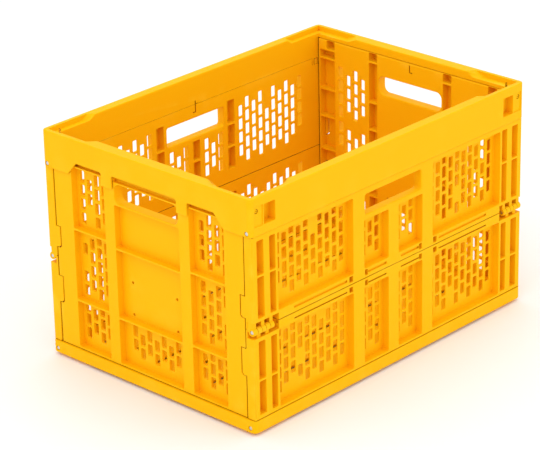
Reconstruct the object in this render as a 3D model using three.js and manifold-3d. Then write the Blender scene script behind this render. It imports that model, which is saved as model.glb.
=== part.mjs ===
// Folding mesh crate of moulded polypropylene, standing open.
// Units are millimetres and +Z is up. The origin is the centre of the footprint, on the ground.
// The long sides face -Y (right) and +Y (left), and the short ends face -X (front) and +X (rear).
// Each long side is two panels with a hinge at mid height. Each end is one panel that hangs
// from the top frame and swings inwards and up. The long sides then fold flat on the base.

import * as THREE from "three";
import { mergeVertices } from "three/addons/utils/BufferGeometryUtils.js";
import Module from "manifold-3d";

const wasm = await Module();
wasm.setup();

// ---------- driving dimensions ----------

const LENGTH = 530;
const WIDTH = 366;
const HEIGHT = 318;
const CORNER_RADIUS = 7;
const CORNER_STEPS = 4;
const GAP = 0.4; // between pieces that meet or pass
const PIN_CLEARANCE = 0.3; // around each hinge pin
const ROUND_STEPS = 16; // facets round a pin or its hole
const OVERCUT = 1; // how far a cutting block runs past a face

// top frame: a channel on the long sides, an angle on the short ends
const SKIRT_HEIGHT = 50;
const SKIRT_WALL = 2.8;
const RIM_ROOF = 8.5;
const END_ROOF = 7.5; // the roof is thicker over an end panel's pivot
const FRAME_BAR = 15; // width of the channel on a long side
const FRAME_INNER_WALL = 2.2;
const FRAME_INNER_EDGE = 278; // lower edge of the channel's inner wall
const END_FLANGE = 18;
const CORNER_BLOCK = 30;
const CORNER_CORE = 46; // above the hinge pockets the corners are solid for this length
// pockets in the outer face of each corner: a shallow one round the pivot pin, then a deep one
const CORNER_POCKETS = [
  { x: [7, 23], depth: 1.4, z: [280, 308] },
  { x: [24, 44], depth: 11.5, z: [280, 306] },
];
const RIM_STEP_DEPTH = 6.5;
const RIM_STEP_INSET = 6;
const RIM_RAMP = 14;
const RIM_STEP_LONG = 68; // low rim from each corner along a long side
const RIM_STEP_SHORT = 67.5; // the same along a short end

// openings in the lower edge of the frame's short skirts
const SKIRT_CUT_HEIGHT = 17.5;
const SKIRT_GRIP_HALF = 57;
const SKIRT_SIDE_CUT = [75, 120];
const SKIRT_SIDE_SLANT = 17;

// base tray
const BASE_HEIGHT = 21;
const BASE_RIM = 17;
const BASE_FLOOR = [5, 8];
const FOOT_HEIGHT = 4;
const FOOT_INSET = 6.6;
const FOOT_LONG = 62; // each corner foot, along a long side
const FOOT_SHORT = 58; // and along a short end
const FLOOR_SLOT = [60, 8];
const FLOOR_SLOT_PITCH = [92, 48];

// long side panels
const SIDE_RECESS = 1.2; // outer face behind the footprint
const SIDE_INNER = FRAME_BAR;
const END_RECESS = 3; // ends of the side panels and faces of the end panels
const SKIN = 2.6;
const SEAM_Z = 144;
// pockets in the corner posts, from the end of the crate
const POST_POCKETS = [
  [11, 23],
  [33.5, 44],
];
const POST_POCKET_MARGIN = 14;
const SIDE_WINDOW = [48, 187]; // from the end of the crate
const SIDE_CENTRE_WINDOW = [10, 57]; // from the middle of the crate
const SIDE_GRIP = { half: 54.5, low: 231, high: 258 };
const SIDE_GRIP_LEDGE = 7; // solid strip under the grip
const SIDE_RIB_OFFSET = 70; // height of the cross rib above or below the seam
const WINDOW_MARGIN = { seam: 13, edge: 7 }; // solid strips above and below a side window

// mesh: short upright slots, every other column shifted by half a pitch
const SLOT = { wide: 8, tall: 15.6 };
const SLOT_PITCH = { wide: 12.9, tall: 19.5 };
const SLOT_EDGE = 2.4; // least bar between a slot and its window's edge

// hinges of the long sides
const TOP_PIN = { y: 175.2, z: 272.5 };
const BASE_PIN = { y: 174, z: 10 };
const MID_PIN = { y: 177.9, z: (272.5 + 10) / 2 };
const PIN_RADIUS = 2.5;
const MID_BARREL = 5;
const MID_WEB = 5; // overlap of a knuckle's web with its panel
const TOP_KNUCKLE = 4.4;
const BASE_KNUCKLE = 4.6;
const BASE_BORE = 44; // depth of the base's pin hole
const KNUCKLE_LENGTH = 18;
const HINGE_LENGTH = 2 * KNUCKLE_LENGTH;
const PIN_PROUD = 2; // how far the top and base pins run out past the side panels' ends
const KNUCKLE_ROOM = 1; // round a knuckle inside the frame or the base

// end panels
const END_THICK = 15;
const END_PIVOT = { x: 253, z: 300 };
const END_TOP_RADIUS = 8.6;
const END_FOOT_GAP = 0.6; // lets the bottom edge swing past the base
const END_CENTRE_HALF = 57;
const END_WINDOW = [75, 134];
const END_EDGE_POCKET = [139, 159];
const END_RIBS = [90, 191];
const END_SILL = 246;
const END_CENTRE_MESH = { half: 45, z: [30, 78] }; // below the lowest cross rib
const END_RIB = 2.6;
const END_WINDOW_Z = [24.2, 282];
const END_HOLLOW_Z = [26.6, 290]; // of the pockets open to the inside
const END_GRIP = { half: 54, low: 249, high: 277, radius: 9 };
const END_PIVOT_RADIUS = 2.5;
const END_PIVOT_LENGTH = 26;
const LOCK_TABS = [
  [158, 187],
  [79.5, 116.5],
];
const LOCK_TAB_REACH = 7.5;
const LOCK_TAB_THICK = 5;
const LOCK_TAB_RAMP = 3; // chamfer under each tab

const HALF_LENGTH = LENGTH / 2;
const HALF_WIDTH = WIDTH / 2;
const SKIRT_Z = HEIGHT - SKIRT_HEIGHT;
const SIDE_BACK_Y = HALF_WIDTH - SIDE_INNER;
const SIDE_END_X = HALF_LENGTH - END_RECESS;
const END_FACE_X = SIDE_END_X - GAP;
const END_BACK_X = END_FACE_X - END_THICK;
const END_HALF_WIDTH = SIDE_BACK_Y - GAP;
const PIN_INSET = 2; // pin ends behind the outer face
const END_PIN_Y = [HALF_WIDTH - PIN_INSET - END_PIVOT_LENGTH, HALF_WIDTH - PIN_INSET];

// ---------- materials ----------

function plastic(colour) {
  return new THREE.MeshStandardMaterial({ color: colour, roughness: 0.45, metalness: 0 });
}

const YELLOW = "#fdc010";
const STEEL = "#c9c9c4";

function steel() {
  return new THREE.MeshStandardMaterial({ color: STEEL, roughness: 0.3, metalness: 1 });
}

// ---------- solids ----------

function solidOf(geometry) {
  geometry.deleteAttribute("normal");
  geometry.deleteAttribute("uv");
  const merged = mergeVertices(geometry, 1e-4);
  const mesh = new wasm.Mesh({
    numProp: 3,
    vertProperties: merged.attributes.position.array,
    triVerts: new Uint32Array(merged.index.array),
  });
  return new wasm.Manifold(mesh);
}

// A block between two corners, given as a low and a high value on each axis.
function block(x, y, z) {
  const geometry = new THREE.BoxGeometry(x[1] - x[0], y[1] - y[0], z[1] - z[0]);
  geometry.translate((x[0] + x[1]) / 2, (y[0] + y[1]) / 2, (z[0] + z[1]) / 2);
  return solidOf(geometry);
}

function rodX(x, y, z, radius) {
  const geometry = new THREE.CylinderGeometry(radius, radius, x[1] - x[0], ROUND_STEPS);
  geometry.rotateZ(Math.PI / 2);
  geometry.translate((x[0] + x[1]) / 2, y, z);
  return solidOf(geometry);
}

function rodY(x, y, z, radius, steps = ROUND_STEPS) {
  const geometry = new THREE.CylinderGeometry(radius, radius, y[1] - y[0], steps);
  geometry.translate(x, (y[0] + y[1]) / 2, z);
  return solidOf(geometry);
}

function roundedOutline(width, height, radius) {
  const w = width / 2;
  const h = height / 2;
  const shape = new THREE.Shape();
  shape.absarc(w - radius, h - radius, radius, 0, Math.PI / 2);
  shape.absarc(radius - w, h - radius, radius, Math.PI / 2, Math.PI);
  shape.absarc(radius - w, radius - h, radius, Math.PI, 1.5 * Math.PI);
  shape.absarc(w - radius, radius - h, radius, 1.5 * Math.PI, 2 * Math.PI);
  return shape;
}

// A rectangle with rounded corners, centred on the origin, from one height to another.
function roundedSlab(width, depth, radius, z) {
  const geometry = new THREE.ExtrudeGeometry(roundedOutline(width, depth, radius), {
    depth: z[1] - z[0],
    bevelEnabled: false,
    curveSegments: CORNER_STEPS,
  });
  geometry.translate(0, 0, z[0]);
  return solidOf(geometry);
}

// An outline in Y and Z, extruded along X.
function prismX(points, x) {
  const shape = new THREE.Shape(points.map(([y, z]) => new THREE.Vector2(y, z)));
  const geometry = new THREE.ExtrudeGeometry(shape, { depth: x[1] - x[0], bevelEnabled: false });
  geometry.rotateZ(Math.PI / 2);
  geometry.rotateY(Math.PI / 2);
  geometry.translate(x[0], 0, 0);
  return solidOf(geometry);
}

// A rounded window through a panel that faces X.
function roundedWindowX(x, halfWidth, z, radius) {
  const geometry = new THREE.ExtrudeGeometry(
    roundedOutline(2 * halfWidth, z[1] - z[0], radius),
    { depth: x[1] - x[0], bevelEnabled: false, curveSegments: CORNER_STEPS },
  );
  geometry.rotateZ(Math.PI / 2);
  geometry.rotateY(Math.PI / 2);
  geometry.translate(x[0], 0, (z[0] + z[1]) / 2);
  return solidOf(geometry);
}

function cutAll(solid, cutters) {
  return cutters.reduce((rest, cutter) => rest.subtract(cutter), solid);
}

// The same range on the other side of zero.
function mirrored(range) {
  return [-range[1], -range[0]];
}

// A range of a given width about its middle.
function around(middle, width) {
  return [middle - width / 2, middle + width / 2];
}

function bothSides(range) {
  return [range, mirrored(range)];
}

function meshOf(name, solid, material) {
  const { vertProperties, triVerts } = solid.getMesh();
  const geometry = new THREE.BufferGeometry();
  geometry.setAttribute("position", new THREE.BufferAttribute(vertProperties, 3));
  geometry.setIndex(new THREE.BufferAttribute(triVerts, 1));
  geometry.computeVertexNormals();
  const mesh = new THREE.Mesh(geometry, material);
  mesh.name = name;
  return mesh;
}

// ---------- top frame ----------

// Low stretches of the rim at one corner, each ending in a ramp up to full height.
function rimStepLong(sideX, sideY) {
  const low = HEIGHT - RIM_STEP_DEPTH;
  const inner = HALF_WIDTH - END_FLANGE - OVERCUT;
  const outer = HALF_WIDTH - RIM_STEP_INSET;
  const end = HALF_LENGTH - RIM_STEP_LONG;
  const y = sideY > 0 ? [inner, outer] : [-outer, -inner];
  const x = [end, HALF_LENGTH - RIM_STEP_INSET];
  const level = block(sideX > 0 ? x : mirrored(x), y, [low, HEIGHT + OVERCUT]);
  const shape = new THREE.Shape();
  shape.moveTo(end, low);
  shape.lineTo(end, HEIGHT + OVERCUT);
  shape.lineTo(end - RIM_RAMP, HEIGHT + OVERCUT);
  shape.lineTo(end - RIM_RAMP, HEIGHT);
  const geometry = new THREE.ExtrudeGeometry(shape, { depth: y[1] - y[0], bevelEnabled: false });
  geometry.rotateX(Math.PI / 2);
  geometry.translate(0, y[1], 0);
  const ramp = solidOf(geometry);
  return level.add(sideX > 0 ? ramp : ramp.mirror([1, 0, 0]));
}

function rimStepShort(sideX, sideY) {
  const low = HEIGHT - RIM_STEP_DEPTH;
  const end = HALF_WIDTH - RIM_STEP_SHORT;
  const inner = HALF_LENGTH - END_FLANGE - OVERCUT;
  const outer = HALF_LENGTH - RIM_STEP_INSET;
  const x = sideX > 0 ? [inner, outer] : [-outer, -inner];
  const y = [end, HALF_WIDTH - RIM_STEP_INSET];
  const level = block(x, sideY > 0 ? y : mirrored(y), [low, HEIGHT + OVERCUT]);
  const ramp = prismX(
    [
      [end, low],
      [end, HEIGHT + OVERCUT],
      [end - RIM_RAMP, HEIGHT + OVERCUT],
      [end - RIM_RAMP, HEIGHT],
    ],
    x,
  );
  return level.add(sideY > 0 ? ramp : ramp.mirror([0, 1, 0]));
}

// Grip opening and two slanted openings in the lower edge of a short skirt.
function skirtCuts(x) {
  const low = SKIRT_Z - OVERCUT;
  const high = SKIRT_Z + SKIRT_CUT_HEIGHT;
  const [inner, outer] = SKIRT_SIDE_CUT;
  const slanted = [
    [inner, low],
    [outer + SKIRT_SIDE_SLANT, low],
    [outer, high],
    [inner, high],
  ];
  const side = prismX(slanted, x);
  return [
    block(x, [-SKIRT_GRIP_HALF, SKIRT_GRIP_HALF], [low, high]),
    side,
    side.mirror([0, 1, 0]),
  ];
}

function topFrame() {
  const innerX = HALF_LENGTH - END_FLANGE;
  const innerY = HALF_WIDTH - FRAME_BAR;
  const ring = roundedSlab(LENGTH, WIDTH, CORNER_RADIUS, [SKIRT_Z, HEIGHT]);
  const roofZ = HEIGHT - RIM_ROOF;
  const low = SKIRT_Z - OVERCUT;
  const cuts = [block([-innerX, innerX], [-innerY, innerY], [low, HEIGHT + OVERCUT])];
  const channel = [HALF_WIDTH - FRAME_BAR + FRAME_INNER_WALL, HALF_WIDTH - SKIRT_WALL];
  const blockX = HALF_LENGTH - CORNER_BLOCK;
  const coreX = HALF_LENGTH - CORNER_CORE;
  for (const y of bothSides(channel)) {
    cuts.push(block([-coreX, coreX], y, [low, roofZ]));
    // pockets in the corner blocks take the knuckles of the upper side panels
    for (const x of bothSides([blockX - OVERCUT, SIDE_END_X])) {
      cuts.push(block(x, y, [low, TOP_PIN.z + TOP_KNUCKLE + KNUCKLE_ROOM]));
    }
  }
  for (const y of bothSides([innerY - OVERCUT, channel[1]])) {
    cuts.push(block([-blockX, blockX], y, [low, FRAME_INNER_EDGE]));
  }
  const behindSkirt = [END_BACK_X - OVERCUT, HALF_LENGTH - END_RECESS];
  for (const x of bothSides(behindSkirt)) {
    cuts.push(block(x, [-innerY, innerY], [low, HEIGHT - END_ROOF]));
  }
  for (const x of bothSides([HALF_LENGTH - END_RECESS - OVERCUT, HALF_LENGTH + OVERCUT])) {
    cuts.push(...skirtCuts(x));
  }
  for (const sideX of [-1, 1]) {
    for (const sideY of [-1, 1]) {
      cuts.push(rimStepLong(sideX, sideY), rimStepShort(sideX, sideY));
      cuts.push(pivotSocket(sideX, sideY));
      cuts.push(...CORNER_POCKETS.map((pocket) => cornerPocket(sideX, sideY, pocket)));
    }
  }
  const reach = HALF_LENGTH + OVERCUT;
  for (const side of [-1, 1]) {
    cuts.push(rodX([-reach, reach], side * TOP_PIN.y, TOP_PIN.z, PIN_RADIUS + PIN_CLEARANCE));
  }
  return cutAll(ring, cuts);
}

// Hole for an end panel's pivot pin, open to the outer face.
function pivotSocket(sideX, sideY) {
  const y = [HALF_WIDTH - FRAME_BAR - OVERCUT, HALF_WIDTH + OVERCUT];
  const radius = END_PIVOT_RADIUS + PIN_CLEARANCE;
  return rodY(sideX * END_PIVOT.x, sideY > 0 ? y : mirrored(y), END_PIVOT.z, radius);
}

function cornerPocket(sideX, sideY, pocket) {
  const [near, far] = pocket.x;
  const x = [HALF_LENGTH - far, HALF_LENGTH - near];
  const y = [HALF_WIDTH - pocket.depth, HALF_WIDTH + OVERCUT];
  return block(sideX > 0 ? x : mirrored(x), sideY > 0 ? y : mirrored(y), pocket.z);
}

// ---------- base tray ----------

function floorSlots() {
  const slots = [];
  const across = Math.floor((HALF_LENGTH - BASE_RIM - FLOOR_SLOT[0]) / FLOOR_SLOT_PITCH[0]);
  const along = Math.floor((HALF_WIDTH - BASE_RIM - FLOOR_SLOT[1]) / FLOOR_SLOT_PITCH[1]);
  const z = [BASE_FLOOR[0] - OVERCUT, BASE_FLOOR[1] + OVERCUT];
  for (let i = -across; i <= across; i += 1) {
    for (let j = -along; j <= along; j += 1) {
      const x = around(i * FLOOR_SLOT_PITCH[0], FLOOR_SLOT[0]);
      const y = around(j * FLOOR_SLOT_PITCH[1], FLOOR_SLOT[1]);
      slots.push(block(x, y, z));
    }
  }
  return slots;
}

function baseTray() {
  const band = roundedSlab(LENGTH, WIDTH, CORNER_RADIUS, [FOOT_HEIGHT, BASE_HEIGHT]);
  const foot = roundedSlab(LENGTH - 2 * FOOT_INSET, WIDTH - 2 * FOOT_INSET, CORNER_RADIUS, [
    0,
    FOOT_HEIGHT + OVERCUT,
  ]);
  const innerX = HALF_LENGTH - BASE_RIM;
  const innerY = HALF_WIDTH - BASE_RIM;
  const inside = { x: [-innerX, innerX], y: [-innerY, innerY] };
  const betweenX = HALF_LENGTH - FOOT_LONG;
  const betweenY = HALF_WIDTH - FOOT_SHORT;
  const cuts = [
    block(inside.x, inside.y, [BASE_FLOOR[1], BASE_HEIGHT + OVERCUT]),
    block(inside.x, inside.y, [-OVERCUT, BASE_FLOOR[0]]),
    // the foot ring is cut away between the corners
    block([-betweenX, betweenX], [-HALF_WIDTH, HALF_WIDTH], [-OVERCUT, FOOT_HEIGHT]),
    block([-HALF_LENGTH, HALF_LENGTH], [-betweenY, betweenY], [-OVERCUT, FOOT_HEIGHT]),
    ...floorSlots(),
  ];
  // pockets for the feet of the lower side panels, and the pin holes through them
  const pocketX = [SIDE_END_X - HINGE_LENGTH - 2 * GAP, SIDE_END_X + GAP];
  const pocketY = around(BASE_PIN.y, 2 * (BASE_KNUCKLE + KNUCKLE_ROOM));
  const pocketZ = [BASE_PIN.z - BASE_KNUCKLE - KNUCKLE_ROOM, BASE_HEIGHT + OVERCUT];
  for (const y of bothSides(pocketY)) {
    for (const x of bothSides(pocketX)) {
      cuts.push(block(x, y, pocketZ));
    }
  }
  for (const side of [-1, 1]) {
    const radius = PIN_RADIUS + PIN_CLEARANCE;
    for (const x of bothSides([SIDE_END_X - BASE_BORE, HALF_LENGTH + OVERCUT])) {
      cuts.push(rodX(x, side * BASE_PIN.y, BASE_PIN.z, radius));
    }
  }
  return cutAll(band.add(foot), cuts);
}

// ---------- long side panels, modelled for the right side (-Y) ----------

function sideY(depthFrom, depthTo) {
  return [-(HALF_WIDTH - depthFrom), -(HALF_WIDTH - depthTo)];
}

// Staggered upright slots over a window, given along u and up z. The cutter turns one slot's
// two ranges into a solid.
function meshSlots(u, z, cutter) {
  const slots = [];
  const columns = Math.floor((u[1] - u[0] - 2 * SLOT_EDGE - SLOT.wide) / SLOT_PITCH.wide) + 1;
  const first = (u[0] + u[1]) / 2 - ((columns - 1) * SLOT_PITCH.wide) / 2;
  const room = z[1] - z[0] - 2 * SLOT_EDGE - SLOT.tall;
  for (let i = 0; i < columns; i += 1) {
    // a shifted column holds one slot fewer if there is no room for it
    const shift = i % 2 === 0 ? 0 : SLOT_PITCH.tall / 2;
    const rows = Math.floor((room - shift) / SLOT_PITCH.tall) + 1;
    const column = around(first + i * SLOT_PITCH.wide, SLOT.wide);
    for (let j = 0; j < rows; j += 1) {
      const top = z[1] - SLOT_EDGE - shift - j * SLOT_PITCH.tall;
      slots.push(cutter(column, [top - SLOT.tall, top]));
    }
  }
  return slots;
}

function sideSlots(x, z) {
  return meshSlots(x, z, (u, w) => block(u, sideY(-OVERCUT, SIDE_INNER + OVERCUT), w));
}

// A side panel's plate between two heights, with its outer pockets, windows and cross ribs.
// ribZ is the height of the rib across the corner pockets. windowZ and centreZ are the heights
// of the outer and the centre windows.
function sidePlate(z, ribZ, windowZ, centreZ) {
  const plate = block([-SIDE_END_X, SIDE_END_X], sideY(SIDE_RECESS, SIDE_INNER), z);
  const open = sideY(-OVERCUT, SIDE_INNER - SKIN);
  const cuts = [];
  for (const [from, to] of POST_POCKETS) {
    for (const x of bothSides([HALF_LENGTH - to, HALF_LENGTH - from])) {
      cuts.push(block(x, open, [z[0] + POST_POCKET_MARGIN, ribZ - END_RIB / 2]));
      cuts.push(block(x, open, [ribZ + END_RIB / 2, z[1] - POST_POCKET_MARGIN]));
    }
  }
  for (const x of bothSides([HALF_LENGTH - SIDE_WINDOW[1], HALF_LENGTH - SIDE_WINDOW[0]])) {
    cuts.push(block(x, open, windowZ), ...sideSlots(x, windowZ));
  }
  for (const x of bothSides(SIDE_CENTRE_WINDOW)) {
    cuts.push(block(x, open, centreZ), ...sideSlots(x, centreZ));
  }
  return cutAll(plate, cuts);
}

function lockTab([low, high]) {
  const reach = SIDE_BACK_Y - LOCK_TAB_REACH;
  const outline = [
    [-SIDE_BACK_Y - OVERCUT, low],
    [-reach - LOCK_TAB_RAMP, low],
    [-reach, low + LOCK_TAB_RAMP],
    [-reach, high],
    [-SIDE_BACK_Y - OVERCUT, high],
  ];
  return prismX(outline, [-SIDE_END_X, -SIDE_END_X + LOCK_TAB_THICK]);
}

function bothEnds(solid) {
  return solid.add(solid.mirror([1, 0, 0]));
}

// Stretch of the crate's length from one distance to another, both from the front end panel's plane.
function hingeX(from, to) {
  return [-SIDE_END_X + from, -SIDE_END_X + to];
}

function pinHole(pin, x) {
  return rodX(x, -pin.y, pin.z, PIN_RADIUS + PIN_CLEARANCE);
}

// A barrel knuckle on the mid hinge, with a web that ties it to its panel.
function midKnuckle(x, webZ) {
  const barrel = rodX(x, -MID_PIN.y, MID_PIN.z, MID_BARREL);
  const web = block(x, [-MID_PIN.y - PIN_RADIUS, -SIDE_BACK_Y - SKIN], webZ);
  return barrel.add(web);
}

// Room round a knuckle of the other panel.
function midRelief(x, z) {
  return block([x[0] - GAP, x[1] + GAP], sideY(-OVERCUT, SIDE_INNER - SKIN + GAP), z);
}

function upperSide() {
  const z = [SEAM_Z + GAP / 2, SKIRT_Z - GAP];
  const grip = SIDE_GRIP;
  const windowZ = [z[0] + WINDOW_MARGIN.seam, z[1] - WINDOW_MARGIN.edge];
  const centreZ = [windowZ[0], grip.low - SIDE_GRIP_LEDGE];
  let panel = sidePlate(z, SEAM_Z + SIDE_RIB_OFFSET, windowZ, centreZ);
  // the inner part of the plate rises behind the frame's skirt to meet its inner wall
  const behindSkirt = [-SIDE_BACK_Y - FRAME_BAR + SKIRT_WALL + GAP, -SIDE_BACK_Y];
  const riserX = HALF_LENGTH - CORNER_BLOCK - GAP;
  const riser = block([-riserX, riserX], behindSkirt, [z[1] - OVERCUT, FRAME_INNER_EDGE - GAP]);
  panel = panel.add(riser);
  panel = panel.subtract(
    block([-grip.half, grip.half], sideY(0, SIDE_INNER + OVERCUT), [grip.low, grip.high]),
  );
  // knuckle at the top, inside the frame's corner block
  const topX = hingeX(KNUCKLE_ROOM, CORNER_BLOCK - END_RECESS - KNUCKLE_ROOM);
  const tongue = block(
    topX,
    [-TOP_PIN.y - TOP_KNUCKLE, -TOP_PIN.y + TOP_KNUCKLE],
    [z[1] - OVERCUT, TOP_PIN.z],
  );
  const topBarrel = rodX(topX, -TOP_PIN.y, TOP_PIN.z, TOP_KNUCKLE);
  panel = panel.add(bothEnds(tongue.add(topBarrel)));
  // the outer knuckle of the mid hinge belongs to the upper panel
  const inner = hingeX(KNUCKLE_LENGTH, HINGE_LENGTH);
  const reliefZ = [z[0] - OVERCUT, MID_PIN.z + MID_BARREL + GAP];
  panel = panel.subtract(bothEnds(midRelief(inner, reliefZ)));
  const outer = hingeX(0, KNUCKLE_LENGTH - GAP);
  panel = panel.add(bothEnds(midKnuckle(outer, [MID_PIN.z - PIN_RADIUS, z[0] + MID_WEB])));
  panel = panel.add(bothEnds(lockTab(LOCK_TABS[0])));
  const bores = [
    pinHole(MID_PIN, hingeX(-OVERCUT, HINGE_LENGTH + OVERCUT)),
    pinHole(TOP_PIN, hingeX(-OVERCUT, CORNER_BLOCK)),
  ];
  return cutAll(panel, bores.map(bothEnds));
}

function lowerSide() {
  const z = [BASE_HEIGHT + GAP, SEAM_Z - GAP / 2];
  const windowZ = [z[0] + WINDOW_MARGIN.edge, z[1] - WINDOW_MARGIN.seam];
  let panel = sidePlate(z, SEAM_Z - SIDE_RIB_OFFSET, windowZ, windowZ);
  const outer = hingeX(0, KNUCKLE_LENGTH - GAP);
  const reliefZ = [MID_PIN.z - MID_BARREL - GAP, z[1] + OVERCUT];
  panel = panel.subtract(bothEnds(midRelief([outer[0] - OVERCUT, outer[1]], reliefZ)));
  const inner = hingeX(KNUCKLE_LENGTH, HINGE_LENGTH);
  panel = panel.add(bothEnds(midKnuckle(inner, [z[1] - 2 * MID_WEB, MID_PIN.z + PIN_RADIUS])));
  // foot inside the base's pocket
  const footX = hingeX(GAP, HINGE_LENGTH);
  const foot = block(
    footX,
    [-BASE_PIN.y - BASE_KNUCKLE, -BASE_PIN.y + BASE_KNUCKLE],
    [BASE_PIN.z, z[0] + OVERCUT],
  );
  const footBarrel = rodX(footX, -BASE_PIN.y, BASE_PIN.z, BASE_KNUCKLE);
  panel = panel.add(bothEnds(foot.add(footBarrel)));
  panel = panel.add(bothEnds(lockTab(LOCK_TABS[1])));
  const bores = [
    pinHole(MID_PIN, hingeX(-OVERCUT, HINGE_LENGTH + OVERCUT)),
    pinHole(BASE_PIN, hingeX(-OVERCUT, HINGE_LENGTH + OVERCUT)),
  ];
  return cutAll(panel, bores.map(bothEnds));
}

// ---------- end panels, modelled for the front end (-X) ----------

// Ranges between a low and a high value, split by ribs.
function bays(z, ribs) {
  const edges = [z[0], ...ribs.flatMap((rib) => [rib - END_RIB / 2, rib + END_RIB / 2]), z[1]];
  const found = [];
  for (let i = 0; i < edges.length; i += 2) {
    found.push([edges[i], edges[i + 1]]);
  }
  return found;
}

function endPanel() {
  const bottom = BASE_HEIGHT + END_FOOT_GAP;
  const front = -END_FACE_X;
  const back = -END_BACK_X;
  let panel = block([front, back], [-END_HALF_WIDTH, END_HALF_WIDTH], [bottom, END_PIVOT.z]);
  // the top edge is round about the pivot, so that it clears the frame as the panel swings
  const width = [-END_HALF_WIDTH, END_HALF_WIDTH];
  const arc = rodY(-END_PIVOT.x, width, END_PIVOT.z, END_TOP_RADIUS, 2 * ROUND_STEPS);
  const keep = block([front, back], [-HALF_WIDTH, HALF_WIDTH], [END_PIVOT.z - OVERCUT, HEIGHT]);
  panel = panel.add(arc.intersect(keep));
  const fromOutside = [front - OVERCUT, back - SKIN];
  const fromInside = [front + SKIN, back + OVERCUT];
  const through = [front - OVERCUT, back + OVERCUT];
  const cuts = [];
  // centre column: bays below the grip, open to the outside
  for (const z of bays([END_WINDOW_Z[0], END_SILL], END_RIBS)) {
    cuts.push(block(fromOutside, [-END_CENTRE_HALF, END_CENTRE_HALF], z));
  }
  cuts.push(roundedWindowX(through, END_GRIP.half, [END_GRIP.low, END_GRIP.high], END_GRIP.radius));
  // mesh windows either side, open to the outside
  for (const y of bothSides(END_WINDOW)) {
    for (const z of bays(END_WINDOW_Z, END_RIBS)) {
      cuts.push(block(fromOutside, y, z), ...endSlots(through, y, z));
    }
  }
  const lowCentre = around(0, 2 * END_CENTRE_MESH.half);
  cuts.push(...endSlots(through, lowCentre, END_CENTRE_MESH.z));
  // hollow ribs between and beside the windows, open to the inside
  for (const range of [[END_CENTRE_HALF + SKIN, END_WINDOW[0] - SKIN], END_EDGE_POCKET]) {
    for (const y of bothSides(range)) {
      for (const z of bays(END_HOLLOW_Z, [...END_RIBS, END_SILL])) {
        cuts.push(block(fromInside, y, z));
      }
    }
  }
  // notches for the lock tabs of the side panels
  for (const [low, high] of LOCK_TABS) {
    const y = [END_HALF_WIDTH - LOCK_TAB_REACH, END_HALF_WIDTH + OVERCUT];
    for (const range of bothSides(y)) {
      cuts.push(
        block([front - OVERCUT, -SIDE_END_X + LOCK_TAB_THICK + GAP], range, [low - GAP, high + GAP]),
      );
    }
  }
  // pivot pin holes in both edges
  const boreY = [END_PIN_Y[0] - OVERCUT, END_HALF_WIDTH + OVERCUT];
  for (const y of bothSides(boreY)) {
    cuts.push(rodY(-END_PIVOT.x, y, END_PIVOT.z, END_PIVOT_RADIUS + PIN_CLEARANCE));
  }
  return cutAll(panel, cuts);
}

function endSlots(x, y, z) {
  return meshSlots(y, z, (u, w) => block(x, u, w));
}

// ---------- pins ----------

function hingePin(pin, x) {
  return rodX(x, -pin.y, pin.z, PIN_RADIUS);
}

function pivotPin() {
  return rodY(-END_PIVOT.x, mirrored(END_PIN_Y), END_PIVOT.z, END_PIVOT_RADIUS);
}

// ---------- assembly ----------

const crate = new THREE.Group();

function place(parent, name, solid, material) {
  parent.add(meshOf(name, solid, material));
}

place(crate, "top_frame", topFrame(), plastic(YELLOW));
place(crate, "base_tray", baseTray(), plastic(YELLOW));

const upper = upperSide();
const lower = lowerSide();
const pins = {
  top_hinge_pin: hingePin(TOP_PIN, hingeX(-PIN_PROUD, CORNER_BLOCK - PIN_PROUD)),
  mid_hinge_pin: hingePin(MID_PIN, hingeX(GAP, HINGE_LENGTH - GAP)),
  base_hinge_pin: hingePin(BASE_PIN, hingeX(-PIN_PROUD, BASE_BORE - PIN_PROUD)),
  end_pivot_pin: pivotPin(),
};

for (const side of ["right", "left"]) {
  const half = new THREE.Group();
  half.rotation.z = side === "left" ? Math.PI : 0;
  place(half, `side_${side}_upper`, upper, plastic(YELLOW));
  place(half, `side_${side}_lower`, lower, plastic(YELLOW));
  // the turned half has its near end at the rear of the crate
  const ends = side === "left" ? ["rear", "front"] : ["front", "rear"];
  for (const [name, solid] of Object.entries(pins)) {
    const material = () => (name === "end_pivot_pin" ? plastic(YELLOW) : steel());
    place(half, `${name}_${side}_${ends[0]}`, solid, material());
    place(half, `${name}_${side}_${ends[1]}`, solid.mirror([1, 0, 0]), material());
  }
  crate.add(half);
}

const endSolid = endPanel();
for (const end of ["front", "rear"]) {
  const half = new THREE.Group();
  half.rotation.z = end === "rear" ? Math.PI : 0;
  place(half, `end_panel_${end}`, endSolid, plastic(YELLOW));
  crate.add(half);
}

export default crate;
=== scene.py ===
"""Looks of the folding mesh crate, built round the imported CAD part.

Lengths are in millimetres until a mesh is made, and +Z is up. The long sides face -Y and +Y.
Every panel is built for the right side (-Y) or the front end (-X) and turned half a turn
about Z for its twin. A point on a panel is given as along, height and depth behind the
crate's outline. A solid is an outline, the rings it goes through and a function that places
it. A ring is how far the outline has grown, and a depth.
"""

import math
import random

import bmesh
import bpy
from mathutils import Matrix, Vector


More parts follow.
